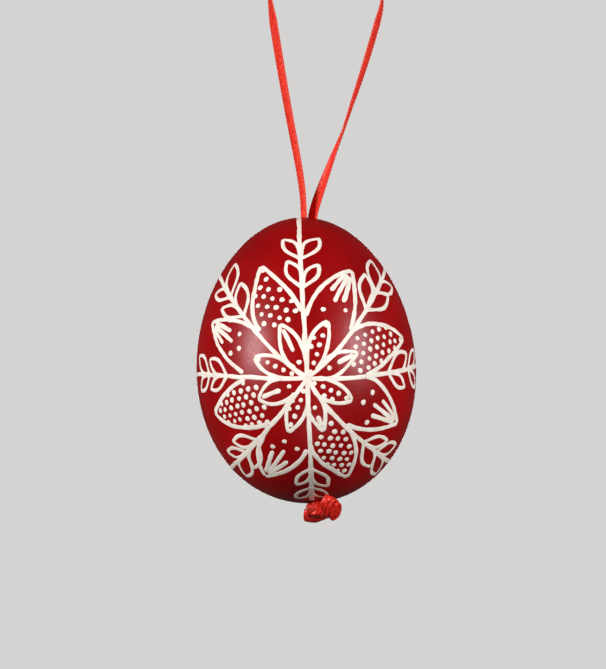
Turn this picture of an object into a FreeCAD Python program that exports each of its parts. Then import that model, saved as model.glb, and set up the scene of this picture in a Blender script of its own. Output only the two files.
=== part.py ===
import FreeCAD, Part
import math
import os

from FreeCAD import Vector

# A blown and dyed hen's egg that hangs from a doubled satin ribbon.
# Millimetres. +Z is up and +Y points away from whoever looks at the egg's decorated face.
# The origin is the middle of the round branch, peg or hook that the ribbon is looped over.

# The ribbon
RIBBON_WIDTH = 3.0
RIBBON_THICKNESS = 0.3

# The branch that the loop fits over
BRANCH_RADIUS = 11.1

# The egg: its pointed end is up, so its widest section lies below the middle
EGG_LENGTH = 57.8
EGG_WIDTH = 44.2
WIDEST_BELOW_MIDDLE = 2.15
SHELL_THICKNESS = 0.38
MEMBRANE_THICKNESS = 0.08
MEMBRANE_GAP = 0.02

# The two holes share one axis, a little to the right of the egg's own
HOLE_RADIUS = 2.6
HOLE_OFFSET = 1.2

# Where the upper hole hangs below and to the left of the branch's middle
HOLE_DROP = 45.8
HOLE_SIDE = -3.95

# Where the strands stand across the holes, measured from the holes' axis
STRAND_AT_TOP_HOLE = {"left": -0.55, "right": 1.2}
STRAND_AT_KNOT = {"left": -0.25, "right": 0.25}

# The knot that the egg sits on, drawn up into the lower hole
KNOT_HALF_WIDTH = 3.5
KNOT_HALF_DEPTH = 2.8
KNOT_HALF_HEIGHT = 2.4
KNOT_CLEARANCE = 0.05

# The two cut ends of the ribbon, which lie back to the left under the knot.
# The reach is from the knot's middle, and each angle is from straight down towards the left.
TAIL_REACH = 4.4
TAIL_ANGLES_DEG = (45.0, 76.0)

# Running room where a stretch of ribbon turns against the next one
LOOP_END_CLEARANCE = 0.1
APEX_GAP = 0.4

# The egg's outline starts this far out from its axis, well inside the holes
START_RADIUS = 1.0
PROFILE_STEPS = 24
BRANCH_CORNERS = 3

UP = Vector(0, 0, 1)
DEPTH = Vector(0, 1, 0)
SEAT_RADIUS = BRANCH_RADIUS + RIBBON_THICKNESS / 2


def egg_point(angle, inset):
    """A point of the egg's outline, inset along its normal. The angle is 0 at the pointed end."""

    def outline(t):
        height = EGG_LENGTH / 2 * math.cos(t)
        taper = 8 * WIDEST_BELOW_MIDDLE * height + 4 * WIDEST_BELOW_MIDDLE ** 2
        radius = EGG_WIDTH / 2 * math.sin(t) / math.sqrt(1 + taper / EGG_LENGTH ** 2)
        return Vector(radius, 0, height)

    step = 1e-4
    along = (outline(angle + step) - outline(angle - step)).normalize()
    normal = Vector(-along.z, 0, along.x)
    return outline(angle) - normal * inset


def outline_curve(inset):
    """The egg's outline as a smooth curve that stops just short of each end, where the holes go."""
    stop = START_RADIUS / (EGG_WIDTH / 2)
    angles = [stop + (math.pi - 2 * stop) * i / PROFILE_STEPS for i in range(PROFILE_STEPS + 1)]
    points = [egg_point(angle, inset) for angle in angles]
    curve = Part.BSplineCurve()
    curve.interpolate(Points=points)
    return curve.toShape(), points[0], points[-1]


def egg_wall(outside, inside):
    """A closed wall between two insets of the egg's outline, turned round the egg's own axis."""
    outer, outer_top, outer_bottom = outline_curve(outside)
    inner, inner_top, inner_bottom = outline_curve(inside)
    blunt_end = Part.LineSegment(outer_bottom, inner_bottom).toShape()
    pointed_end = Part.LineSegment(inner_top, outer_top).toShape()
    section = Part.Face(Part.Wire([outer, blunt_end, inner, pointed_end]))
    return section.revolve(Vector(0, 0, 0), UP, 360)


def bored(shape):
    """The shape with both holes cut through it on their shared axis."""
    bore = Part.makeCylinder(HOLE_RADIUS, 2 * EGG_LENGTH, Vector(HOLE_OFFSET, 0, -EGG_LENGTH))
    return shape.cut(bore).Solids[0]


def tangent_angle(point, side):
    """Where a line from the point touches the ribbon's circle over the branch, in degrees from +X."""
    reach = math.degrees(math.acos(SEAT_RADIUS / point.Length))
    bearing = math.degrees(math.atan2(point.z, point.x)) % 360
    return bearing - reach if side == "left" else (bearing + reach) % 360 - 360


def on_branch(angle, radius):
    """The point over the branch at this angle from +X, in the plane of the loop."""
    return Vector(radius * math.cos(math.radians(angle)), 0, radius * math.sin(math.radians(angle)))


def strip(start, end, start_trim, end_trim, rounded_start):
    """A flat stretch of ribbon from start to end, its width along Y, with one end round if asked."""
    along = (end - start).normalize()
    face_normal = along.cross(DEPTH)
    half = DEPTH * (RIBBON_WIDTH / 2)
    near = start + along * start_trim
    far = end - along * end_trim
    edges = [
        Part.LineSegment(near + half, far + half).toShape(),
        Part.LineSegment(far + half, far - half).toShape(),
        Part.LineSegment(far - half, near - half).toShape(),
    ]
    if rounded_start:
        edges.append(Part.Arc(near - half, near - along * (RIBBON_WIDTH / 2), near + half).toShape())
    else:
        edges.append(Part.LineSegment(near - half, near + half).toShape())
    face = Part.Face(Part.Wire(edges))
    face.translate(face_normal * (-RIBBON_THICKNESS / 2))
    return face.extrude(face_normal * RIBBON_THICKNESS)


def knot_centre_drop():
    """How far the knot's middle hangs below the egg's blunt end, so that it just clears the rim."""
    half_height_at_rim = KNOT_HALF_HEIGHT * math.sqrt(1 - (HOLE_RADIUS / KNOT_HALF_WIDTH) ** 2)
    return half_height_at_rim + KNOT_CLEARANCE


def save(shape, name):
    """Check one sub-part and write it to its own file."""
    assert shape.isValid(), name
    assert all(solid.isClosed() for solid in shape.Solids), name
    shape.exportStep(f"parts/{name}.step")
    print(f"{name}: {len(shape.Solids)} solid, {shape.Volume:.3f} mm3")


os.makedirs("parts", exist_ok=True)

# The shell and its lining, on the egg's own axis
eggshell = bored(egg_wall(0, SHELL_THICKNESS))
lining_inset = SHELL_THICKNESS + MEMBRANE_GAP
shell_membrane = bored(egg_wall(lining_inset, lining_inset + MEMBRANE_THICKNESS))

# The egg leans until its weight hangs straight below the upper hole
hole_height = (EGG_LENGTH - SHELL_THICKNESS) / 2
balance = eggshell.CenterOfMass
lean = math.degrees(math.atan2(HOLE_OFFSET - balance.x, hole_height - balance.z))
top_hole = Vector(HOLE_SIDE, 0, -HOLE_DROP)
turn = FreeCAD.Rotation(DEPTH, -lean)
place = FreeCAD.Placement(top_hole - turn.multVec(Vector(HOLE_OFFSET, 0, hole_height)), turn)


def in_egg(x, z):
    """A place given from the holes' axis and the egg's middle, as it hangs."""
    return place.multVec(Vector(HOLE_OFFSET + x, 0, z))


eggshell.Placement = place
shell_membrane.Placement = place
save(eggshell, "eggshell")
save(shell_membrane, "shell_membrane")

# The knot: a rounded lump on the holes' axis
knot_height = -EGG_LENGTH / 2 - knot_centre_drop()
stretch = FreeCAD.Matrix()
stretch.scale(KNOT_HALF_WIDTH, KNOT_HALF_DEPTH, KNOT_HALF_HEIGHT)
knot = Part.makeSphere(1).transformGeometry(stretch)
knot.Placement = FreeCAD.Placement(in_egg(0, knot_height), turn)
save(knot, "ribbon_knot")

# The free strands, from the branch down to the upper hole, and the arc over the branch
hole_points = {side: in_egg(x, hole_height) for side, x in STRAND_AT_TOP_HOLE.items()}
angles = {side: tangent_angle(point, side) for side, point in hole_points.items()}
leaves = {side: on_branch(angle, SEAT_RADIUS) for side, angle in angles.items()}
for side in ("left", "right"):
    strand = strip(leaves[side], hole_points[side], 0, APEX_GAP / 2, True)
    save(strand, f"ribbon_{side}_strand")

wrap = angles["left"] - angles["right"]
half_width = DEPTH * (RIBBON_WIDTH / 2)
inner_start = on_branch(angles["right"], BRANCH_RADIUS)
outer_start = on_branch(angles["right"], BRANCH_RADIUS + RIBBON_THICKNESS)
section = Part.makePolygon([inner_start - half_width, outer_start - half_width,
                            outer_start + half_width, inner_start + half_width,
                            inner_start - half_width])
seat = Part.Face(section).revolve(Vector(0, 0, 0), DEPTH, -wrap)
swing_axis = (leaves["right"] - leaves["left"]).normalize()
end_room = Part.makeCylinder(
    RIBBON_WIDTH / 2 + LOOP_END_CLEARANCE, 8 * BRANCH_RADIUS,
    leaves["left"] - swing_axis * (2 * BRANCH_RADIUS), swing_axis)
seat = seat.cut(end_room).Solids[0]
save(seat, "ribbon_seat")

# The strands inside the egg, from the upper hole down into the knot
for side in ("left", "right"):
    knot_point = in_egg(STRAND_AT_KNOT[side], knot_height)
    inside = strip(hole_points[side], knot_point, APEX_GAP / 2, 0, False).cut(knot).Solids[0]
    save(inside, f"ribbon_inside_{side}")

# The two cut ends, which come out of the knot's left side and underside, a little apart
tails = []
for angle in TAIL_ANGLES_DEG:
    outward = turn.multVec(Vector(-math.sin(math.radians(angle)), 0, -math.cos(math.radians(angle))))
    root = in_egg(0, knot_height)
    tail = strip(root, root + outward * TAIL_REACH, 0, 0, False).cut(knot).Solids[0]
    tails.append(tail)
save(Part.makeCompound(tails), "ribbon_tails")

# The route of the ribbon's middle line, with the corners of the round that it makes on the branch
step = wrap / BRANCH_CORNERS
corner_radius = SEAT_RADIUS / math.cos(math.radians(step / 2))
route = [hole_points["right"]]
for i in range(BRANCH_CORNERS):
    route.append(on_branch(angles["right"] + step * (i + 0.5), corner_radius))
route.append(hole_points["left"])
for point in route:
    print(f"route point {point.x:.2f}, {point.y:.2f}, {point.z:.2f}")
free_length = math.radians(wrap) * SEAT_RADIUS + sum(
    (hole_points[side] - leaves[side]).Length for side in hole_points)
inside_length = sum((hole_points[side] - in_egg(0, knot_height)).Length for side in hole_points)
print(f"bend over the branch: radius {SEAT_RADIUS:.2f} over {wrap:.1f} degrees in {BRANCH_CORNERS} turns")
for side in ("left", "right"):
    into = (hole_points[side] - leaves[side]).normalize()
    onward = (in_egg(STRAND_AT_KNOT[side], knot_height) - hole_points[side]).normalize()
    bend = math.degrees(into.getAngle(onward))
    print(f"{side} strand turns {bend:.1f} degrees over the rim of the upper hole, at the rock joint")
print(f"free loop {free_length:.1f} mm, inside the egg {inside_length:.1f} mm")
print(f"lean {lean:.2f} degrees, upper hole at {top_hole.x:.2f}, {top_hole.z:.2f}")
print(f"hole axis {turn.multVec(UP)}, swing axis {swing_axis}, through {leaves['left']}")
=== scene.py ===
import math

import bpy
import numpy as np
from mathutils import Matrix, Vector


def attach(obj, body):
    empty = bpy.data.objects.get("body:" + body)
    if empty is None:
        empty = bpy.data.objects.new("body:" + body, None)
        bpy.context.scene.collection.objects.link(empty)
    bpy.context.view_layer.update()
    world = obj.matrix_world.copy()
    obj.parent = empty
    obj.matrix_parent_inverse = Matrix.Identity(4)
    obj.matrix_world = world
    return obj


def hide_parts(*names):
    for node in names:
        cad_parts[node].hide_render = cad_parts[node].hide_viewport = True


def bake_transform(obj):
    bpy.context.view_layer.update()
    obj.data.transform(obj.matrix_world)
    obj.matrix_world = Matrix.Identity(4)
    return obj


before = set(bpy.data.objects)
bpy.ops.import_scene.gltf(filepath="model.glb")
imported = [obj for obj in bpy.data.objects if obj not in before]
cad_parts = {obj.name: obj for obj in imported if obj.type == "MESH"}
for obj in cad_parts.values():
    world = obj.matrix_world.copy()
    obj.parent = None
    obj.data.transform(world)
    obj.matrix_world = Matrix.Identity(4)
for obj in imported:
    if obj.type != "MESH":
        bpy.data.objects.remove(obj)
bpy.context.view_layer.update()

# The script works in millimetres, in the CAD's own frame, and turns them into metres as each mesh
# is made.
MM = 0.001
SEED = 41


# ---------------------------------------------------------------- camera

def add_camera():
    """Looks up at the egg from a little below, so far away that the view is nearly flat."""
    aim = Vector((-4.55, 0, -69.35)) * MM
    rise = math.radians(-8.0)
    distance = 0.9
    view_height = 0.1348
    data = bpy.data.cameras.new("camera")
    data.sensor_width = 36.0
    data.lens = data.sensor_width * distance / view_height
    data.clip_start = 0.05
    data.clip_end = 20.0
    camera = bpy.data.objects.new("camera", data)
    back = Vector((0, -math.cos(rise), math.sin(rise)))
    camera.location = aim + back * distance
    camera.rotation_mode = "QUATERNION"
    camera.rotation_quaternion = (-back).to_track_quat("-Z", "Y")
    bpy.context.scene.collection.objects.link(camera)
    bpy.context.scene.camera = camera


add_camera()


# ---------------------------------------------------------------- materials

class Finish:
    """A material's node tree, with short calls for the nodes that the finishes share."""

    def __init__(self, name):
        self.material = bpy.data.materials.new(name)
        self.material.use_nodes = True
        self.tree = self.material.node_tree
        self.shader = self.tree.nodes["Principled BSDF"]
        place = self.tree.nodes.new("ShaderNodeTexCoord")
        self.place = place.outputs["Object"]

    def node(self, kind, inputs=(), **settings):
        made = self.tree.nodes.new(kind)
        for key, value in settings.items():
            setattr(made, key, value)
        for key, value in dict(inputs).items():
            self.feed(made.inputs[key], value)
        return made

    def feed(self, socket, value):
        if isinstance(value, bpy.types.NodeSocket):
            self.tree.links.new(value, socket)
        else:
            socket.default_value = value

    def set(self, **inputs):
        """Give the shader these inputs, whose names have _ in place of each space."""
        for key, value in inputs.items():
            self.feed(self.shader.inputs[key.replace("_", " ")], value)

    def noise(self, size_mm, detail=3.0):
        """Smooth noise from 0 to 1, its lumps about this many millimetres across."""
        made = self.node("ShaderNodeTexNoise", {
            "Vector": self.place, "Scale": 1 / (size_mm * MM), "Detail": detail})
        return made.outputs["Fac"]

    def pits(self, size_mm):
        """Distance from the nearest of a scatter of points, for pores."""
        made = self.node("ShaderNodeTexVoronoi", {
            "Vector": self.place, "Scale": 1 / (size_mm * MM)})
        return made.outputs["Distance"]

    def between(self, value, low, high, out_low=0.0, out_high=1.0):
        """A value's place between low and high, spread over the two output values and held there."""
        made = self.node("ShaderNodeMapRange", {
            "Value": value, "From Min": low, "From Max": high,
            "To Min": out_low, "To Max": out_high})
        return made.outputs["Result"]

    def mix(self, share, first, second):
        made = self.node("ShaderNodeMix", data_type="RGBA")
        self.feed(made.inputs[0], share)
        self.feed(made.inputs[6], (*first, 1) if isinstance(first, tuple) else first)
        self.feed(made.inputs[7], (*second, 1) if isinstance(second, tuple) else second)
        return made.outputs[2]

    def math(self, operation, first, second=0.0):
        made = self.node("ShaderNodeMath", operation=operation)
        self.feed(made.inputs[0], first)
        self.feed(made.inputs[1], second)
        return made.outputs[0]

    def phase(self, place, spacing):
        """How far through a wave of this spacing a place is, in radians."""
        return self.math("MULTIPLY", place, 2 * math.pi / spacing)

    def wave(self, phase, low=-1.0, high=1.0):
        """A wave from 0 to 1, flattened where its sine is past low or high."""
        return self.between(self.math("SINE", phase), low, high)

    def bump(self, height, depth_mm, strength=1.0, onto=None):
        made = self.node("ShaderNodeBump", {
            "Height": height, "Distance": depth_mm * MM, "Strength": strength})
        if onto is not None:
            self.feed(made.inputs["Normal"], onto)
        return made.outputs["Normal"]


def dyed_finish():
    """Shell soaked in deep red dye and waxed: mottled colour, tiny pores and a satin gloss."""
    f = Finish("dyed_shell")
    cloudy = f.between(f.noise(9.0, 4.0), 0.3, 0.7)
    colour = f.mix(cloudy, (0.245, 0.0012, 0.0016), (0.325, 0.0022, 0.0028))
    freckles = f.between(f.noise(0.8, 2.0), 0.60, 0.72, 0.0, 0.45)
    colour = f.mix(freckles, colour, (0.17, 0.0008, 0.0012))
    pores = f.between(f.pits(0.75), 0.05, 0.22)
    grain = f.noise(0.35, 3.0)
    swell = f.noise(5.0, 2.0)
    normal = f.bump(swell, 0.10, 0.35)
    normal = f.bump(grain, 0.030, 0.5, normal)
    normal = f.bump(pores, 0.020, 0.6, normal)
    f.set(Base_Color=colour, Roughness=f.between(grain, 0.3, 0.7, 0.27, 0.42),
          Specular_IOR_Level=0.24, Normal=normal)
    return f.material


def bare_finish():
    """Bare shell where wax kept the dye off: warm white with a little dye crept into it."""
    f = Finish("bare_shell")
    patchy = f.between(f.noise(2.2, 3.0), 0.35, 0.65)
    colour = f.mix(patchy, (0.80, 0.76, 0.63), (0.90, 0.87, 0.76))
    crept = f.between(f.noise(0.45, 3.0), 0.58, 0.74, 0.0, 0.5)
    colour = f.mix(crept, colour, (0.74, 0.42, 0.36))
    grain = f.noise(0.30, 2.0)
    f.set(Base_Color=colour, Roughness=f.between(grain, 0.3, 0.7, 0.42, 0.58),
          Normal=f.bump(grain, 0.02, 0.6))
    return f.material


def lining_finish():
    """The thin papery skin inside the shell."""
    f = Finish("membrane")
    fibres = f.noise(0.5, 6.0)
    colour = f.mix(f.between(fibres, 0.35, 0.65), (0.66, 0.60, 0.50), (0.80, 0.76, 0.68))
    f.set(Base_Color=colour, Roughness=f.between(fibres, 0.3, 0.7, 0.6, 0.75),
          Normal=f.bump(fibres, 0.03, 0.6))
    return f.material


# The ribbon's weave in millimetres: the ribs of its edges, its slanted floats along and across it,
# the threads that run along it, and how far from its middle the edge begins and is whole
RIB_SPACING = 0.8
FLOAT_SPACING = (0.26, 0.60)
THREAD_SPACING = 0.19
EDGE_RAMP = (1.12, 1.36)


def ribbon_finish(name, gloss, shine, crumple_mm, deep, bright):
    """Woven satin: fine slanted floats across the width, with a ribbed pale edge on each side."""
    f = Finish(name)
    weave = f.node("ShaderNodeUVMap", uv_map="weave").outputs["UV"]
    split = f.node("ShaderNodeSeparateXYZ", {"Vector": weave})
    along, across = split.outputs["X"], split.outputs["Y"]
    slant = f.math("ADD", f.phase(along, FLOAT_SPACING[0]), f.phase(across, FLOAT_SPACING[1]))
    floats = f.wave(slant)
    threads = f.wave(f.phase(across, THREAD_SPACING))
    edge = f.between(f.math("ABSOLUTE", across), *EDGE_RAMP)
    ribs = f.wave(f.phase(along, RIB_SPACING), -0.7, 0.3)
    # A random mottle between the deep and bright colours. In the knot's copy the deep colour is painted
    # shade.
    mottle_and_shade = f.between(f.noise(0.55, 4.0), 0.36, 0.66)
    colour = f.mix(mottle_and_shade, deep, bright)
    colour = f.mix(f.math("MULTIPLY", floats, 0.3), colour, (0.92, 0.060, 0.036))
    colour = f.mix(f.math("MULTIPLY", edge, 0.35), colour, (0.95, 0.10, 0.065))
    gaps = f.math("MULTIPLY", edge, f.math("SUBTRACT", 1.0, ribs))
    colour = f.mix(f.math("MULTIPLY", gaps, 0.6), colour, (0.26, 0.003, 0.004))
    normal = f.bump(f.noise(0.55, 2.0), crumple_mm)
    normal = f.bump(floats, 0.035, 0.8, normal)
    normal = f.bump(threads, 0.015, 0.6, normal)
    f.set(Base_Color=colour, Roughness=f.between(floats, 0.0, 1.0, gloss, gloss + 0.12),
          Specular_IOR_Level=shine, Specular_Tint=(1.0, 0.42, 0.32, 1.0),
          Sheen_Weight=0.06, Sheen_Roughness=0.4, Sheen_Tint=(1.0, 0.30, 0.20, 1.0),
          Anisotropic=0.5, Normal=normal)
    return f.material


DYED = dyed_finish()
BARE = bare_finish()
LINING = lining_finish()
RIBBON = ribbon_finish(
    "ribbon_satin", gloss=0.32, shine=0.8, crumple_mm=0.03,
    deep=(0.62, 0.012, 0.007), bright=(0.98, 0.060, 0.028))
# The knot's copy of the satin has a far darker deep colour than the ribbon's. That colour is painted
# shade in the knot's folds and under the egg.
SHADED_KNOT = ribbon_finish(
    "ribbon_knot_satin_shaded", gloss=0.20, shine=0.9, crumple_mm=0.09,
    deep=(0.30, 0.002, 0.001), bright=(0.90, 0.014, 0.006))


# ---------------------------------------------------------------- meshes

def piece(name, points, faces, materials, face_material=None, weave=None):
    """A smooth-shaded mesh from points in millimetres."""
    mesh = bpy.data.meshes.new(name)
    mesh.from_pydata((np.asarray(points, float) * MM).tolist(), [], faces)
    mesh.polygons.foreach_set("use_smooth", [True] * len(mesh.polygons))
    for material in materials:
        mesh.materials.append(material)
    if face_material is not None:
        mesh.polygons.foreach_set("material_index", face_material)
    if weave is not None:
        corner = np.zeros(len(mesh.loops), np.int32)
        mesh.loops.foreach_get("vertex_index", corner)
        layer = mesh.uv_layers.new(name="weave")
        layer.data.foreach_set("uv", np.asarray(weave, np.float32)[corner].ravel())
    mesh.update()
    made = bpy.data.objects.new(name, mesh)
    bpy.context.scene.collection.objects.link(made)
    return made


def unit(vectors):
    return vectors / np.maximum(np.linalg.norm(vectors, axis=-1, keepdims=True), 1e-12)


def evenly(line, step):
    """The line again, its points about step apart, and how far along it each of them is."""
    lengths = np.linalg.norm(np.diff(line, axis=0), axis=1)
    along = np.concatenate([[0], np.cumsum(lengths)])
    at = np.linspace(0, along[-1], max(3, int(round(along[-1] / step)) + 1))
    return np.stack([np.interp(at, along, line[:, k]) for k in range(line.shape[1])], axis=1), at


def bands(ring_count, ring_size, first=0, joined=False):
    """Quads between rings of points that each close on themselves."""
    faces = []
    for i in range(ring_count if joined else ring_count - 1):
        a = first + i * ring_size
        b = first + (i + 1) % ring_count * ring_size
        for j in range(ring_size):
            k = (j + 1) % ring_size
            faces.append((a + j, a + k, b + k, b + j))
    return faces


# ---------------------------------------------------------------- ribbon

RIBBON_WIDTH = 3.0
SEAM_HEIGHT = -25.0

# Control points from the knot up the right strand, over the branch and down the left strand.
# The two holes' points and the three corners over the branch are the CAD route's.
RIBBON_ROUTE = [
    (-1.27, 0, -105.0),
    (-2.35, 0, -62.0),
    (-2.60, 0, -52.0),
    (-2.75, 0, -45.75),
    (-0.60, 0, -39.0),
    (4.40, 0, -25.5),
    (9.20, 0, -10.76),
    (13.05, 0, 3.92),
    (1.08, 0, 13.59),
    (-12.27, 0, 5.94),
    (-10.05, 0, -9.29),
    (-7.60, 0, -24.0),
    (-4.85, 0, -38.5),
    (-4.50, 0, -45.82),
    (-4.21, 0, -52.0),
    (-3.75, 0, -62.0),
    (-1.77, 0, -105.0),
]

# Three tables by height in millimetres: how far each strand is turned about its own line, in degrees,
# and how deeply the ribbon is cupped, in millimetres
LEFT_TURN = ([-105, -60, -46, -40, -30, -20, -10, -5, -1, 4],
             [-10, -14, -17, -20, -24, -27, -30, -29, -14, 0])
RIGHT_TURN = ([-105, -60, -46, -42, -38, -33, -29, -26.5, -20, -12, -5, 0, 5],
              [20, 28, 37, 39, 32, 20, 8, 0, -12, -19, -20, -7, 0])
CUP = ([-105, -60, -46, -38, -28, -18, -10, 0, 4],
       [0.3, 0.55, 0.62, 0.5, 0.45, 0.32, 0.22, 0.08, 0])


def nurbs_line(points):
    """The points of a smooth NURBS spline that has these control points."""
    curve = bpy.data.curves.new("route", "CURVE")
    curve.dimensions = "3D"
    spline = curve.splines.new("NURBS")
    spline.points.add(len(points) - 1)
    for point, place in zip(spline.points, points):
        point.co = (*(MM * x for x in place), 1)
    spline.order_u = 3
    spline.use_endpoint_u = True
    spline.resolution_u = 24
    holder = bpy.data.objects.new("route", curve)
    mesh = bpy.data.meshes.new_from_object(holder)
    line = np.array([v.co for v in mesh.vertices], float) / MM
    bpy.data.meshes.remove(mesh)
    bpy.data.curves.remove(curve)
    return line


# Half of the flat section, from its edge to its middle: across, then half its thickness. It is thin,
# with a thicker woven edge.
HALF_SECTION = [
    (-1.50, 0.0), (-1.44, 0.11), (-1.30, 0.15), (-1.12, 0.10), (-0.75, 0.085), (-0.38, 0.085)]
TOP_SIDE = HALF_SECTION + [(0.0, 0.085)] + [(-x, h) for x, h in HALF_SECTION[::-1]]
SECTION = TOP_SIDE + [(x, -h) for x, h in TOP_SIDE[-2:0:-1]]

# How far apart the sections are, and where the edge's ribs begin, in millimetres. Then how much a rib
# thickens the edge, as a share, and how much of that share it adds to the width.
RIBBON_STEP = 0.16
EDGE_INSIDE = 1.2
RIB_DEPTH = 0.30
RIB_REACH = 0.012


def flat_ribbon(name, line, turn, cup, finish=RIBBON):
    """A woven ribbon down the line, turned and cupped as the two functions of place say."""
    path, along = evenly(line, RIBBON_STEP)
    heading = unit(np.gradient(path, axis=0))
    deep = np.array([0.0, 1.0, 0.0])
    deep = unit(deep - heading * (heading @ deep)[:, None])
    inward = unit(np.cross(heading, deep))
    angle = np.radians(turn(path))
    across = deep * np.cos(angle)[:, None] + inward * np.sin(angle)[:, None]
    face = -deep * np.sin(angle)[:, None] + inward * np.cos(angle)[:, None]
    depth = cup(path)
    rib = 1 + RIB_DEPTH * np.sin(2 * math.pi * along / RIB_SPACING)
    points, weave = [], []
    for i in range(len(path)):
        for x, h in SECTION:
            edge = abs(x) > EDGE_INSIDE
            h = h * rib[i] if edge else h
            x_out = x * (1 + RIB_REACH * (rib[i] - 1)) if edge else x
            lift = depth[i] * ((x / (RIBBON_WIDTH / 2)) ** 2 - 0.5)
            points.append(path[i] + across[i] * x_out + face[i] * (h + lift))
            weave.append((along[i], x))
    n = len(SECTION)
    faces = bands(len(path), n)
    faces += [tuple(range(n))[::-1], tuple(range((len(path) - 1) * n, len(path) * n))]
    return piece(name, points, faces, [finish], weave=weave)


def turned(path):
    """The turn at each point, from the table of the strand that it is on."""
    midway = np.interp(path[:, 2], [-46, 0], [-3.6, 0])
    left = np.interp(path[:, 2], *LEFT_TURN)
    right = np.interp(path[:, 2], *RIGHT_TURN)
    return np.where(path[:, 0] < midway, left, right)


def cupped(path):
    """How deeply the ribbon is cupped at each point, from its table."""
    return np.interp(path[:, 2], *CUP)


def add_ribbon():
    """The loop over the branch, and the two falls from it through the egg to the knot."""
    line = nurbs_line(RIBBON_ROUTE)
    above = np.nonzero(line[:, 2] > SEAM_HEIGHT)[0]
    first, last = above[0], above[-1]
    stretches = {
        "ribbon_fall_right": (line[:first + 1], ["ribbon_inside_right"]),
        "ribbon_loop": (line[first:last + 1],
                        ["ribbon_seat", "ribbon_left_strand", "ribbon_right_strand"]),
        "ribbon_fall_left": (line[last:], ["ribbon_inside_left"]),
    }
    for name, (stretch, stands_for) in stretches.items():
        ribbon = flat_ribbon(name, stretch, turned, cupped)
        if name == "ribbon_loop":
            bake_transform(ribbon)
        else:
            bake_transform(ribbon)
        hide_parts(*stands_for)


add_ribbon()


# ---------------------------------------------------------------- egg

EGG_LENGTH = 57.8
EGG_WIDTH = 44.2
WIDEST_BELOW_MIDDLE = 2.15
SHELL = 0.38
HOLE_RADIUS = 2.6
HOLE_OFFSET = 1.2

# The egg's middle and its three directions as it hangs: right, back, and up to its pointed end
EGG_MIDDLE = np.array([-3.974, 0.0, -74.535])
EGG_AXES = np.array([[0.999162, 0, 0.0409304], [0, 1, 0], [-0.0409304, 0, 0.999162]])


def egg_radius(height):
    """The egg's radius at a height along its own axis."""
    h = np.clip(height, -EGG_LENGTH / 2, EGG_LENGTH / 2)
    taper = EGG_LENGTH ** 2 + 8 * WIDEST_BELOW_MIDDLE * h + 4 * WIDEST_BELOW_MIDDLE ** 2
    return EGG_WIDTH / 2 * np.sqrt(np.maximum(EGG_LENGTH ** 2 - 4 * h ** 2, 0) / taper)


# A ray's end is found by halving a length that reaches outside the egg
LONGEST_RAY = 60.0
HALVINGS = 40


def on_egg(start_height, directions):
    """Where rays from a point on the egg's axis meet its outside."""
    start = np.array([0, 0, start_height])
    near, far = np.zeros(len(directions)), np.full(len(directions), LONGEST_RAY)
    for _ in range(HALVINGS):
        reach = (near + far) / 2
        p = start + directions * reach[:, None]
        within = (np.hypot(p[:, 0], p[:, 1]) < egg_radius(p[:, 2])) & (np.abs(p[:, 2]) < EGG_LENGTH / 2)
        near, far = np.where(within, reach, near), np.where(within, far, reach)
    return start + directions * near[:, None]


def egg_normals(points):
    """The outward direction of the egg's surface at points on it."""
    step = 0.01
    h = np.clip(points[:, 2], -EGG_LENGTH / 2 + 2 * step, EGG_LENGTH / 2 - 2 * step)
    grow = (egg_radius(h + step) ** 2 - egg_radius(h - step) ** 2) / (2 * step)
    return unit(np.stack([2 * points[:, 0], 2 * points[:, 1], -grow], axis=1))


def hung(points):
    """Points of the egg's own frame, as it hangs."""
    return EGG_MIDDLE + np.asarray(points) @ EGG_AXES


# The shell's mesh: points round it and rings down it. Then, in millimetres, how far the wall's two edges
# are drawn in at a hole's rim, how uneven the holes are, and how much wider than the CAD's.
AROUND = 216
DOWN = 150
RIM = 0.09
NIBBLE = 0.035
WIDER = 0.06


def nibbled_radii(rng, turn):
    """A hole's radius at each turn round it: a little wider than the CAD's and uneven."""
    rough = sum(rng.normal(0, NIBBLE) * np.cos(k * turn + rng.uniform(0, 6.28)) for k in range(2, 13))
    return HOLE_RADIUS + WIDER + np.maximum(rough, -0.05)


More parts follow.
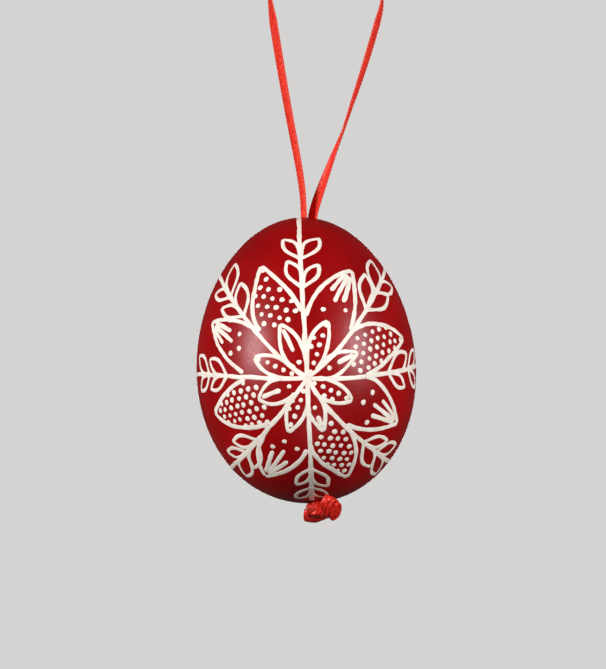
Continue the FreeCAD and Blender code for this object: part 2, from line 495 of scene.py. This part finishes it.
def add_shell():
    """The blown shell: outside, inside and the two slightly nibbled rims of its holes."""
    rng = np.random.default_rng(SEED)
    turn = np.arange(AROUND) * 2 * math.pi / AROUND
    nibble = [nibbled_radii(rng, turn) for _ in range(2)]
    ends = []
    for sign, radius in zip((1, -1), nibble):
        x = HOLE_OFFSET + radius * np.cos(turn)
        y = radius * np.sin(turn)
        height = np.full(AROUND, sign * EGG_LENGTH / 2)
        # Each point slides in from the egg's end until it lies on the outline
        for _ in range(60):
            gap = np.hypot(x, y) - egg_radius(height)
            height -= sign * np.maximum(gap, 0) * 0.1
        ends.append(unit(np.stack([x, y, height], axis=1)))
    belt = np.stack([np.cos(turn), np.sin(turn), np.zeros(AROUND)], axis=1)
    rings = []
    for start, end in ((ends[0], belt), (belt, ends[1])):
        angle = np.arccos(np.clip((start * end).sum(1), -1, 1))[:, None]
        for i in range(DOWN // 2):
            t = i / (DOWN // 2)
            between = np.sin((1 - t) * angle) * start + np.sin(t * angle) * end
            rings.append(between / np.sin(angle))
    rings.append(ends[1])
    outside = [on_egg(0.0, ring) for ring in rings]
    normals = [egg_normals(ring) for ring in outside]
    inside = [ring - normal * SHELL for ring, normal in zip(outside, normals)]
    skin = list(outside)
    for end in (0, -1):
        skin[end] = outside[end] - normals[end] * RIM
        inside[end] = inside[end] + normals[end] * RIM
    points = hung(np.concatenate(skin + inside[::-1]))
    count = 2 * len(skin)
    faces = bands(count, AROUND, joined=True)
    lip = (len(skin) - 1, count - 1)
    finish = [0 if i < len(skin) or i in lip else 1 for i in range(count) for _ in range(AROUND)]
    made = piece("egg_shell", points, [f[::-1] for f in faces], [DYED, BARE], face_material=finish)
    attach(made, "egg")
    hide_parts("eggshell")


add_shell()

# The lining is the CAD's own mesh, with the papery finish
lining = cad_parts["shell_membrane"]
lining.data.materials.clear()
lining.data.materials.append(LINING)


# ---------------------------------------------------------------- drawing on the egg

# The flower is drawn round a point a little below the egg's middle. A place in it is a bearing,
# 0 to the right and 90 up, and how far round the egg it lies from the flower's heart, in degrees.
HEART_HEIGHT = -6.5
LINE_WIDTH = 0.92
FINE_WIDTH = 0.80
LIFT = 0.034


def at(bearing, reach):
    """A place in the drawing, on a flat map of it whose unit is a degree round the egg."""
    b = math.radians(bearing)
    return np.array([math.cos(b), math.sin(b)]) * reach


def bow(start, middle, end, count=24):
    """A smooth arc on the map from start to end, passing through middle."""
    pull = 2 * middle - (start + end) / 2
    t = np.linspace(0, 1, count)[:, None]
    return (1 - t) ** 2 * start + 2 * t * (1 - t) * pull + t ** 2 * end


# A wax line's section: across as a share of its half width, then up as a share of its lift
WAX_LINE = [(-1, -0.35), (-0.86, 0.5), (-0.45, 0.93), (0, 1), (0.45, 0.93), (0.86, 0.5), (1, -0.35)]

# A dot's rings: share of its radius, then up as a share of its lift. It curves with the egg's surface,
# taken as a ball of this radius in millimetres.
DOT_RINGS = [(1, -0.6), (0.86, 0.45), (0.5, 0.92), (0.12, 1.0)]
DOT_CORNERS = 16
BALL_RADIUS = 23.0


class Drawing:
    """Strokes and dots on one face of the egg, gathered into one mesh for each group."""

    def __init__(self, side, seed):
        self.side = side
        self.rng = np.random.default_rng(seed)
        self.points = {}
        self.faces = {}
        self.count = {}

    def lay(self, places):
        """Places on the map, put on the egg's outside, in the egg's own frame."""
        places = np.atleast_2d(places)
        reach = np.radians(np.linalg.norm(places, axis=1))[:, None]
        heading = unit(places)
        right = np.array([self.side, 0.0, 0.0])
        front = np.array([0.0, -self.side, 0.0])
        up = np.array([0.0, 0.0, 1.0])
        sideways = heading[:, :1] * right + heading[:, 1:] * up
        return on_egg(HEART_HEIGHT, unit(front * np.cos(reach) + sideways * np.sin(reach)))

    def keep(self, group, points, faces):
        first = self.count.get(group, 0)
        self.points.setdefault(group, []).append(hung(points))
        self.faces.setdefault(group, []).extend(tuple(first + i for i in f) for f in faces)
        self.count[group] = first + len(points)

    def drift(self, length, spacing, amount, at_places):
        """A smooth seeded wander along a line."""
        knots = np.arange(0, length + 2 * spacing, spacing)
        return np.interp(at_places, knots, self.rng.normal(0, amount, len(knots)))

    def stroke(self, group, places, width=LINE_WIDTH, on_map=True):
        """A hand-drawn line with round ends, standing a little proud like a wax line."""
        line = self.lay(places) if on_map else np.asarray(places)
        line, along = evenly(line, step=0.32)
        length = along[-1]
        normal = egg_normals(line)
        heading = unit(np.gradient(line, axis=0))
        across = unit(np.cross(normal, heading))
        shift = self.drift(length, spacing=2.4, amount=0.055, at_places=along)
        line = line + across * shift[:, None]
        size = width * (1 + self.drift(length, spacing=0.9, amount=0.095, at_places=along))
        from_end = np.minimum(along, length - along) + 0.02
        size = size * np.sqrt(np.clip(1 - (1 - np.minimum(2 * from_end / width, 1)) ** 2, 0.01, 1))
        level = LIFT * (1 + self.rng.uniform(-0.2, 0.2))
        rings = np.stack([line + across * (x * size / 2)[:, None] + normal * (level * h)
                          for x, h in WAX_LINE], axis=1)
        n = len(WAX_LINE)
        faces = bands(len(line), n)
        faces += [tuple(range(n))[::-1], tuple(range((len(line) - 1) * n, len(line) * n))]
        self.keep(group, rings.reshape(-1, 3), [f[::-1] for f in faces])

    def dot(self, group, place, radius=0.52):
        """A round blob of wax, a little uneven."""
        centre = self.lay(place)
        normal = egg_normals(centre)[0]
        east = unit(np.cross([0, 0, 1.0], normal))
        north = np.cross(normal, east)
        n = DOT_CORNERS
        turn = np.arange(n) * 2 * math.pi / n
        radius = radius * self.rng.uniform(0.88, 1.1)
        uneven = 1 + 0.05 * np.cos(2 * turn + self.rng.uniform(0, 6.28))
        uneven += 0.04 * np.cos(3 * turn + self.rng.uniform(0, 6.28))
        rings = []
        for share, h in DOT_RINGS:
            r = (radius * share * uneven)[:, None]
            sag = -(r ** 2) / (2 * BALL_RADIUS)
            edge = east * r * np.cos(turn)[:, None] + north * r * np.sin(turn)[:, None]
            rings.append(centre + edge + normal * (LIFT * h + sag))
        faces = bands(len(rings), n)
        faces += [tuple(range(n))[::-1], tuple(range((len(rings) - 1) * n, len(rings) * n))]
        self.keep(group, np.concatenate(rings), faces)

    def leaf(self, group, root, tip, plump):
        """A leaf drawn as one loop out from its stem and back, between two places on the map."""
        start, end = self.lay(root)[0], self.lay(tip)[0]
        out = end - start
        sideways = unit(np.cross(egg_normals(((start + end) / 2)[None])[0], out))
        size = np.linalg.norm(out)
        t = np.concatenate([np.linspace(0, 1, 20), np.linspace(1, 0, 20)[1:]])
        sign = np.concatenate([np.ones(20), -np.ones(19)])
        belly = plump * size * np.sin(math.pi * t ** 1.2) * self.rng.uniform(0.92, 1.1)
        loop = start + out * t[:, None] + sideways * (belly * sign)[:, None]
        heart = np.array([0, 0, HEART_HEIGHT])
        self.stroke(group, on_egg(HEART_HEIGHT, unit(loop - heart)), FINE_WIDTH, on_map=False)

    def hand_over(self, prefix):
        """Make one mesh for each group, on the egg's body."""
        for group, points in self.points.items():
            made = piece(f"{prefix}_{group}", np.concatenate(points), self.faces[group], [BARE])
            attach(made, "egg")


# Each ray: a place halfway out, and the place where it meets the other face's ray or a hole
RAYS = {
    "north": ((91, 40), (90.4, 85.8)),
    "north_east": ((46, 38), (56, 90)),
    "east": ((3, 40), (11, 90)),
    "south_east": ((-52, 36), (-43, 90)),
    "south": ((-90, 40), (-90, 83.2)),
    "south_west": ((-132, 40), (-137, 90)),
    "west": ((174, 40), (169, 90)),
    "north_west": ((134, 38), (124, 90)),
}

# Each petal: root, side, tip, other side, other root; then how it is filled. An outer petal's veins have
# the size of their fan, and loose dots: how far each lies from the tip, and towards the first side, as
# shares of the petal's length. An inner petal's vein has how far from the tip its dash ends and its dot
# lies, as shares too.
OUTER_PETALS = [
    ((131, 34), (124, 46), (109, 59), (99, 42), (92, 32), "dots"),
    ((89, 30), (79, 44), (66, 58), (56, 45), (47, 33), "veins", 1.05,
     [(0.84, 0.17), (0.67, -0.18)]),
    ((45, 33), (37, 49), (24, 65), (13, 47), (2, 32), "dots"),
    ((1, 32), (-9, 47), (-25, 65), (-39, 47), (-50, 33), "veins", 1.2,
     [(0.80, 0.23), (0.88, 0.02), (0.67, -0.24)]),
    ((-52, 34), (-57, 50), (-69, 65), (-83, 47), (-89, 36), "dots"),
    ((-93, 39), (-103, 52), (-117, 65), (-127, 52), (-132, 34), "veins", 1.25,
     [(0.92, -0.02), (0.71, -0.16), (0.92, 0.25)]),
    ((-134, 33), (-151, 51), (-166, 63), (-176, 47), (177, 34), "dots"),
    ((171, 35), (157, 52), (144, 66), (137, 50), (133, 34), "veins", 0.95,
     [(0.66, -0.12), (0.78, 0.06), (0.69, 0.21)]),
]
INNER_PETALS = [
    ((137, 8), (132, 18), (114, 30), (101, 20), (94, 8), "vein", 0.67, 0.93),
    ((86, 6), (83, 20), (68, 30), (54, 18), (41, 6), "dots"),
    ((44, 9), (40, 19), (26, 30), (8, 18), (-2, 10), "vein", 0.59, 0.82),
    ((-6, 9), (-15, 19), (-27, 27), (-46, 19), (-66, 8), "dots"),
    ((-90, 12), (-88, 20), (-75, 30), (-62, 18), (-68, 8), "vein", 0.46, 0.69),
    ((-129, 10), (-126, 20), (-112, 31), (-99, 21), (-92, 12), "dots"),
    ((-180, 12), (-175, 21), (-161, 29), (-143, 21), (-131, 10), "vein", 0.72, 0.98),
    ((141, 12), (145, 22), (155, 30), (168, 22), (177, 12), "dots"),
]

# The sprigs' leaves, in pairs, by ray: how far out each starts, and the place of its tip
SPRIGS = {
    "north": [(43, (97, 56)), (43, (82, 54)), (56, (97, 67)), (56, (83, 67))],
    "north_east": [(47, (60, 62)), (47, (46, 66)), (59, (61, 73)), (59, (48, 76))],
    "east": [(47, (16, 66)), (47, (-3, 63)), (66, (18, 81)), (66, (-1, 82))],
    "south_east": [(49, (-37, 64)), (49, (-54, 69)), (62, (-35, 77)), (62, (-53, 84))],
    "south": [(51, (-98, 64)), (51, (-81, 67)), (66, (-98, 80)), (66, (-82, 80))],
    "south_west": [(45, (-145, 60)), (45, (-125, 64)), (57, (-143, 72)), (57, (-127, 78))],
    "west": [(46, (163, 61)), (46, (180, 61)), (61, (161, 76)), (61, (179, 75))],
    "north_west": [(46, (136, 62)), (46, (121, 60)), (60, (132, 74)), (60, (118, 73))],
}


# Where an inner petal's dash starts. Then an outer petal's fan of dashes: where they start, how much of
# their spread they have there, and how far each reaches and stands towards the petal's first side. All
# but the spread are shares of the petal's length.
DASH_START = 0.13
VEIN_START = 0.11
VEIN_PINCH = 0.35
VEINS = [(0.50, 0.17), (0.62, 0.05), (0.54, -0.09)]


def ray_line(name):
    middle, end = RAYS[name]
    return bow(at(0, 0), at(*middle), at(*end), 60)


def inside(place, outline):
    """Whether a place on the map lies inside a closed outline, and how far off its nearest point is."""
    a, b = outline, np.roll(outline, -1, axis=0)
    crosses = (a[:, 1] > place[1]) != (b[:, 1] > place[1])
    rise = np.where(crosses, b[:, 1] - a[:, 1], 1)
    run = (b[:, 0] - a[:, 0]) * (place[1] - a[:, 1]) / rise + a[:, 0]
    return bool((crosses & (place[0] < run)).sum() % 2), np.linalg.norm(a - place, axis=1).min()


# How near a dot's middle comes to its own petal's outline and to the inner flower, on the map, and how
# far apart the dots of a row are. As shares of that: how far apart the rows are, and how uneven.
DOT_MARGIN = 1.0
FLOWER_MARGIN = 1.6
DOT_SPACING = 4.8
ROW_SPACING = 0.84
UNEVEN = 0.045


def clear_of(place, outlines):
    """Whether a place on the map lies outside all the outlines, and not close to one."""
    found = [inside(place, outline) for outline in outlines]
    return all(not within and gap > FLOWER_MARGIN for within, gap in found)


def fill_with_dots(drawing, sides, heart_end, radius, others=()):
    """Staggered rows of dots along a petal, as far in as heart_end, clear of the other outlines."""
    outline = np.concatenate([sides[0], sides[1], heart_end[None]])
    tip, root = sides[0][-1], (sides[0][0] + sides[1][-1]) / 2
    ahead = unit(tip - root)
    beside = np.array([-ahead[1], ahead[0]])
    start = drawing.rng.uniform(0.2, 0.8)
    for row in range(-8, 9):
        for step in range(-4, 14):
            along = (step + start + 0.5 * (row % 2)) * DOT_SPACING
            place = root + ahead * along + beside * (row * DOT_SPACING * ROW_SPACING)
            place = place + drawing.rng.normal(0, UNEVEN * DOT_SPACING, 2)
            within, gap = inside(place, outline)
            if within and gap > DOT_MARGIN and clear_of(place, others):
                drawing.dot("dots", place, radius)


def petal_sides(petal):
    """The two sides of a petal on the map: out to its tip, and back."""
    root, side, tip, other_side, other_root = (at(*p) for p in petal[:5])
    return bow(root, side, tip), bow(tip, other_side, other_root)


def outline_petal(drawing, group, petal, width):
    sides = petal_sides(petal)
    for line in sides:
        drawing.stroke(group, line, width)
    return sides


def draw_veins(drawing, sides, fan, loose_dots):
    """The dashes that fan out of a petal's tip, and its loose dots."""
    tip, root = sides[0][-1], (sides[0][0] + sides[1][-1]) / 2
    back = root - tip
    beside = np.array([back[1], -back[0]])
    if beside @ (sides[0][len(sides[0]) // 2] - tip) < 0:
        beside = -beside
    for end, offset in VEINS:
        share = end * drawing.rng.uniform(0.94, 1.06)
        inner = tip + back * VEIN_START + beside * offset * VEIN_PINCH
        outer = tip + (back * share + beside * offset) * fan
        drawing.stroke("petals", bow(inner, (inner + outer) / 2, outer, 8), LINE_WIDTH)
    for share, offset in loose_dots:
        drawing.dot("dots", tip + back * share + beside * offset, radius=0.55)


def draw_dash(drawing, sides, dash_end, dot):
    """One dash from a petal's tip, and one dot beyond it."""
    tip, root = sides[0][-1], (sides[0][0] + sides[1][-1]) / 2
    back = root - tip
    near, far = tip + back * DASH_START, tip + back * dash_end
    drawing.stroke("flower", bow(near, (near + far) / 2, far, 8), LINE_WIDTH)
    drawing.dot("dots", tip + back * dot, radius=0.50)


# How near the heart an outer petal's dots go, as a share of how far out its roots are. Then how far a
# leaf bulges to each side, as a share of its length.
HEART_END = 0.72
LEAF_PLUMPNESS = 0.19


def draw_face(prefix, side, seed):
    """The eight-rayed flower, with a double ring of petals and a sprig on each ray."""
    drawing = Drawing(side, seed)
    ring = [np.concatenate(petal_sides(petal)) for petal in INNER_PETALS]
    for name in RAYS:
        drawing.stroke("rays", ray_line(name), LINE_WIDTH)
    for petal in OUTER_PETALS:
        sides = outline_petal(drawing, "petals", petal, LINE_WIDTH)
        if petal[5] == "dots":
            heart_end = (sides[0][0] + sides[1][-1]) / 2 * HEART_END
            fill_with_dots(drawing, sides, heart_end, radius=0.55, others=ring)
        else:
            draw_veins(drawing, sides, *petal[6:])
    for petal in INNER_PETALS:
        sides = outline_petal(drawing, "flower", petal, FINE_WIDTH)
        if petal[5] == "dots":
            fill_with_dots(drawing, sides, at(0, 0), radius=0.52)
        else:
            draw_dash(drawing, sides, *petal[6:])
    for name, leaves in SPRIGS.items():
        line = ray_line(name)
        reaches = np.linalg.norm(line, axis=1)
        for start, tip in leaves:
            root = np.array([np.interp(start, reaches, line[:, k]) for k in range(2)])
            drawing.leaf("sprigs", root, at(*tip), LEAF_PLUMPNESS)
    drawing.dot("rays", at(0, 0.1), radius=0.60)
    drawing.hand_over(prefix)


draw_face("front", 1, SEED + 1)
draw_face("back", -1, SEED + 2)


# ---------------------------------------------------------------- knot

def oval(middle, long_way, deep_way, count=96):
    """A closed loop round a middle, its two half axes given as directions with their lengths."""
    turn = np.linspace(0, 2 * math.pi, count, endpoint=False)[:, None]
    return np.array(middle) + np.array(long_way) * np.sin(turn) + np.array(deep_way) * np.cos(turn)


# A folded strand's section: its corners, how boxy it is, and the crease down its outside. The knot's
# weave reaches this far from the ribbon's middle, short of its ribbed edge.
FOLD_CORNERS = 26
BOXINESS = 0.8
CREASE_DEPTH = 0.13
CREASE_SHARPNESS = 5.0
WEAVE_REACH = 1.1


def folded_strand(line, width, thickness, rng):
    """One strand of the doubled ribbon, folded lengthwise into a soft ridge, in a closed loop."""
    along = np.concatenate([[0], np.cumsum(np.linalg.norm(np.diff(line, axis=0), axis=1))])
    heading = unit(np.roll(line, -1, axis=0) - np.roll(line, 1, axis=0))
    outward = line - line.mean(0)
    outward = unit(outward - heading * (outward * heading).sum(1)[:, None])
    across = np.cross(heading, outward)
    wander = rng.uniform(0, 6.28, 5)
    points, weave = [], []
    for i, place in enumerate(line):
        s = 2 * math.pi * i / len(line)
        squeeze = 1 + 0.09 * math.sin(2 * s + wander[0]) + 0.06 * math.sin(5 * s + wander[1])
        tilt = 0.28 * math.sin(s + wander[2]) + 0.15 * math.sin(3 * s + wander[3])
        crease = 0.18 * math.sin(2 * s + wander[4])
        for k in range(FOLD_CORNERS):
            turn = 2 * math.pi * k / FOLD_CORNERS
            x = math.cos(turn) * width / 2
            y = math.copysign(abs(math.sin(turn)) ** BOXINESS, math.sin(turn)) * thickness / 2
            dip = CREASE_DEPTH * math.exp(-((x / width - crease) * CREASE_SHARPNESS) ** 2)
            y = y - dip if y > 0 else y
            x, y = x * squeeze, y * squeeze
            x, y = x * math.cos(tilt) - y * math.sin(tilt), x * math.sin(tilt) + y * math.cos(tilt)
            points.append(place + across[i] * x + outward[i] * y)
            weave.append((along[i], WEAVE_REACH * math.cos(turn)))
    return np.array(points), weave, bands(len(line), FOLD_CORNERS, joined=True)


def gathered_lump(middle, wide, deep, long, rng):
    """A rounded lump of gathered ribbon, its pleats running from end to end of its long axis."""
    count, rings, pleats = 48, 18, 7
    wide, deep, long = (np.array(axis, float) for axis in (wide, deep, long))
    start, twist, wave = rng.uniform(0, 6.28), rng.uniform(0.6, 1.1), rng.uniform(0, 6.28)
    points, weave = [], []
    for i in range(rings):
        slope = math.radians(8 + 164 * i / (rings - 1))
        for k in range(count):
            turn = 2 * math.pi * k / count
            pleat = 0.065 * math.sin(pleats * turn + twist * slope + start) * math.sin(slope)
            out = math.sin(slope) ** 0.75 * (1 + pleat + 0.05 * math.sin(2 * turn + wave))
            points.append(np.array(middle) + long * math.cos(slope)
                          + (wide * math.cos(turn) + deep * math.sin(turn)) * out)
            weave.append((np.linalg.norm(long) * slope, WEAVE_REACH * math.sin(pleats * turn / 2)))
    faces = bands(rings, count)
    faces += [tuple(range(count))[::-1], tuple(range((rings - 1) * count, rings * count))]
    return np.array(points), weave, faces


def folds(name, loops, width, thickness, lumps, seed):
    """Folded strands side by side, round the lumps of gathered ribbon inside them, as one piece."""
    rng = np.random.default_rng(seed)
    parts = [folded_strand(line, width, thickness, rng) for line in loops]
    parts += [gathered_lump(*lump, rng) for lump in lumps]
    points, weave, faces = [], [], []
    for part_points, part_weave, part_faces in parts:
        first = len(weave)
        faces += [tuple(first + i for i in face) for face in part_faces]
        points.append(part_points)
        weave += part_weave
    return piece(name, np.concatenate(points), faces, [SHADED_KNOT], weave=weave)


# The slanting front of the knot: its middle, and the ways that its folds run, go back, and lie beside
# each other
SLANT_MIDDLE = np.array([1.05, -5.9, -104.95])
SLANT_ALONG = np.array([0.64, 0.0, 0.77])
SLANT_BACK = np.array([0.15, 0.86, -0.49])
SLANT_BESIDE = np.array([0.72, 0.35, -0.60])

# Each slanting fold: how far beside and behind that middle it lies, then its reach and depth
SLANTING_FOLDS = [
    (-1.3, 0.1, 1.20, 1.75), (-0.5, 0.0, 1.38, 1.95), (0.3, 0.0, 1.42, 2.0), (1.1, 0.1, 1.30, 1.75)]

# Where the folds that go round the knot have their middles, and for each one: its height, how far back
# it is, its radius and depth, and how much it leans and rises
ROUND_SIDE = -1.75
ROUND_FOLDS = [(-104.6, -0.9, 1.7, 1.9, -0.06, 0.0), (-105.6, -1.3, 1.95, 2.3, 0.18, 0.1)]

# Each lump: its middle, then its half width, half depth and half length as directions
SLANT_CORE = (
    SLANT_MIDDLE + SLANT_BESIDE * 0.15, SLANT_ALONG * 1.3, SLANT_BACK * 1.8, SLANT_BESIDE * 1.95)
ROUND_CORE = ((-1.6, -0.9, -105.0), (1.9, 0, 0), (0, 2.3, 0), (0, 0, 1.3))
BRIDGE = ((0.0, -3.4, -105.35), (1.6, 0, 0), (0, 2.7, 0), (0, 0, 1.35))
NECK = ((-1.57, 0, -104.0), (2.1, 0, 0), (0, 2.1, 0), (-0.06, 0, 1.5))

# Each cut end: the control points of its line, its turn at tip, middle and root, and its cup
RIBBON_ENDS = {
    "ribbon_end_front": (
        [(0.4, -2.0, -105.4), (-1.2, -2.6, -105.65), (-2.4, -2.9, -105.8), (-3.7, -3.0, -105.85)],
        [24, 10, 30], -1.2),
    "ribbon_end_back": (
        [(0.3, 0.4, -105.6), (-1.6, 0.6, -106.1), (-3.0, 0.8, -106.2), (-4.3, 1.2, -106.0)],
        [50, 62, 40], -0.9),
}


def slanting_folds():
    loops = []
    for beside, back, reach, depth in SLANTING_FOLDS:
        middle = SLANT_MIDDLE + SLANT_BESIDE * beside + SLANT_BACK * back
        loops.append(oval(middle, SLANT_ALONG * reach, SLANT_BACK * depth))
    return folds("knot_slanting_folds", loops, width=0.86, thickness=0.95,
                 lumps=[SLANT_CORE], seed=SEED + 5)


def round_folds():
    loops = []
    for height, back, radius, deep, lean, rise in ROUND_FOLDS:
        loops.append(oval((ROUND_SIDE, back, height), (radius, 0, lean), (0, deep, rise)))
    return folds("knot_round_folds", loops, width=1.20, thickness=1.05,
                 lumps=[ROUND_CORE, BRIDGE, NECK], seed=SEED + 6)


def ribbon_end(name, points, turns, cup):
    line = nurbs_line(points)
    stations = [line[-1, 0], line[:, 0].mean(), line[0, 0]]

    def turn(path):
        return np.interp(path[:, 0], stations, turns)

    def evenly_cupped(path):
        return np.full(len(path), cup)

    return flat_ribbon(name, line, turn, evenly_cupped, SHADED_KNOT)


def add_knot():
    """A knot pulled tight: folds slant up its front, two go round it, and two ends come out of it."""
    pieces = [slanting_folds(), round_folds()]
    pieces += [ribbon_end(name, *shape) for name, shape in RIBBON_ENDS.items()]
    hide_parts("ribbon_knot")
    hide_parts("ribbon_tails")
    for made in pieces:
        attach(made, "ribbon_core")


add_knot()


# ---------------------------------------------------------------- floor and light

FLOOR_REACH = 6000.0
FLOOR_HEIGHT = -1500.0


def add_floor():
    """A plain pale floor far below the egg, with a light of its own, that throws nothing back up."""
    f = Finish("floor")
    mottle = f.noise(400.0, 2.0)
    f.set(Base_Color=f.mix(mottle, (0.70, 0.70, 0.70), (0.76, 0.76, 0.76)), Roughness=0.8)
    corners = [(x * FLOOR_REACH, y * FLOOR_REACH, FLOOR_HEIGHT)
               for x, y in ((-1, -1), (1, -1), (1, 1), (-1, 1))]
    floor = piece("floor", corners, [(0, 1, 2, 3)], [f.material])
    floor.visible_diffuse = False
    floor.visible_glossy = False
    overhead = bpy.data.lights.new("floor_light", "SUN")
    overhead.energy = 2.5
    overhead.angle = math.radians(20)
    lamp = bpy.data.objects.new("floor_light", overhead)
    lamp.location = (0, 0, 2.0)
    bpy.context.scene.collection.objects.link(lamp)
    lit = bpy.data.collections.new("lit_by_floor_light")
    lit.objects.link(floor)
    lamp.light_linking.receiver_collection = lit


# What the softboxes are aimed at, in millimetres, and how wide each spreads, in degrees
LIT_MIDDLE = (-4.0, 0, -72.0)
SPREAD = 60


def add_softbox(name, bearing, height, distance, width, tall, power, colour=(1, 1, 1)):
    """An area light, aimed at the egg from a bearing and a height in degrees.

    The bearing is 0 towards the camera and positive to the right. The distance and the light's sizes are
    in metres, and its power is in watts.
    """
    middle = Vector(LIT_MIDDLE) * MM
    b, h = math.radians(bearing), math.radians(height)
    away = Vector((math.sin(b) * math.cos(h), -math.cos(b) * math.cos(h), math.sin(h)))
    light = bpy.data.lights.new(name, "AREA")
    light.shape = "RECTANGLE"
    light.size = width
    light.size_y = tall
    light.energy = power
    light.color = colour
    light.spread = math.radians(SPREAD)
    lamp = bpy.data.objects.new(name, light)
    lamp.location = middle + away * distance
    lamp.rotation_mode = "QUATERNION"
    lamp.rotation_quaternion = (-away).to_track_quat("-Z", "Y")
    lamp.visible_camera = False
    bpy.context.scene.collection.objects.link(lamp)


# The world's strength in front of the egg and behind it, where its ramp starts and ends on the way back,
# and its strength as the camera sees it
DIM_IN_FRONT = 0.020
BRIGHT_BEHIND = 0.050
RAMP = (-0.3, 0.9)
BACKDROP = 0.66


def add_world():
    """A dim studio all round, a little brighter behind the egg, that the camera sees as pale."""
    world = bpy.data.worlds.new("studio")
    bpy.context.scene.world = world
    world.use_nodes = True
    tree = world.node_tree
    background = tree.nodes["Background"]
    place = tree.nodes.new("ShaderNodeTexCoord")
    split = tree.nodes.new("ShaderNodeSeparateXYZ")
    light = tree.nodes.new("ShaderNodeMapRange")
    seen = tree.nodes.new("ShaderNodeLightPath")
    pick = tree.nodes.new("ShaderNodeMix")
    light.inputs["From Min"].default_value = RAMP[0]
    light.inputs["From Max"].default_value = RAMP[1]
    light.inputs["To Min"].default_value = DIM_IN_FRONT
    light.inputs["To Max"].default_value = BRIGHT_BEHIND
    pick.inputs[3].default_value = BACKDROP
    tree.links.new(place.outputs["Generated"], split.inputs[0])
    tree.links.new(split.outputs["Y"], light.inputs["Value"])
    tree.links.new(seen.outputs["Is Camera Ray"], pick.inputs[0])
    tree.links.new(light.outputs["Result"], pick.inputs[2])
    tree.links.new(pick.outputs[0], background.inputs["Strength"])
    background.inputs["Color"].default_value = (1.0, 0.99, 0.98, 1)


add_floor()
add_world()
FAINT_PINK = (1.0, 0.94, 0.98)
add_softbox("softbox_left", bearing=-55, height=12, distance=0.9, width=0.29, tall=0.36,
            power=1.15, colour=FAINT_PINK)
add_softbox("softbox_right", bearing=55, height=13, distance=0.9, width=0.27, tall=0.36,
            power=1.00, colour=FAINT_PINK)
add_softbox("bounce_card", bearing=12, height=-38, distance=0.9, width=0.7, tall=0.5, power=0.16)
add_softbox("softbox_behind", bearing=180, height=8, distance=1.2, width=0.30, tall=0.30, power=0.55)
bpy.context.scene.view_settings.view_transform = "Standard"
